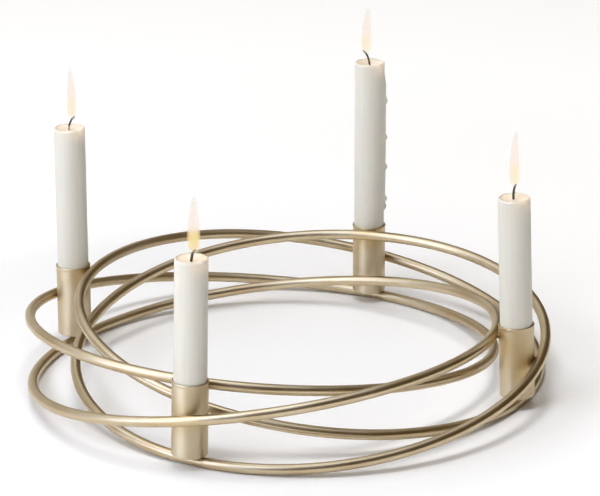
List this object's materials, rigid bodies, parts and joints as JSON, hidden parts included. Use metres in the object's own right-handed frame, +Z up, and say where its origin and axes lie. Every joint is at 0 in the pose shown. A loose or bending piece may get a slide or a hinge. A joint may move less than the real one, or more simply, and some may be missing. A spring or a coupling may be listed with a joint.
{
  "type": "advent wreath",
  "caption": "Round metal table wreath of interlaced tilted rod rings carrying upright cups, each holding a burning candle with a curved wick.",
  "frame": {"origin": "middle of the wreath's overall box, on the table it stands on", "axes": "+Z up; +X to the right and +Y away from the viewer with the longest-burned candle in front on the left"},
  "size_m": [0.3646, 0.3615, 0.2239],
  "materials": {
    "ring_metal": "satin champagne brass",
    "cup_metal": "satin champagne brass, brushed round the cup",
    "wax": "off-white candle wax, slightly translucent",
    "wick": "charred cotton",
    "flame": "glowing, see-through"
  },
  "bodies": {
    "root": {"ring_front": "ring_metal", "ring_right": "ring_metal", "ring_back": "ring_metal", "ring_left": "ring_metal", "cup_front": "cup_metal", "cup_right": "cup_metal", "cup_back": "cup_metal", "cup_left": "cup_metal", "candle_front": "wax", "candle_right": "wax", "candle_back": "wax", "candle_left": "wax", "wick_front": "wick", "wick_right": "wick", "wick_back": "wick", "wick_left": "wick", "flame_front": "flame", "flame_right": "flame", "flame_back": "flame", "flame_left": "flame"}
  },
  "joints": []
}
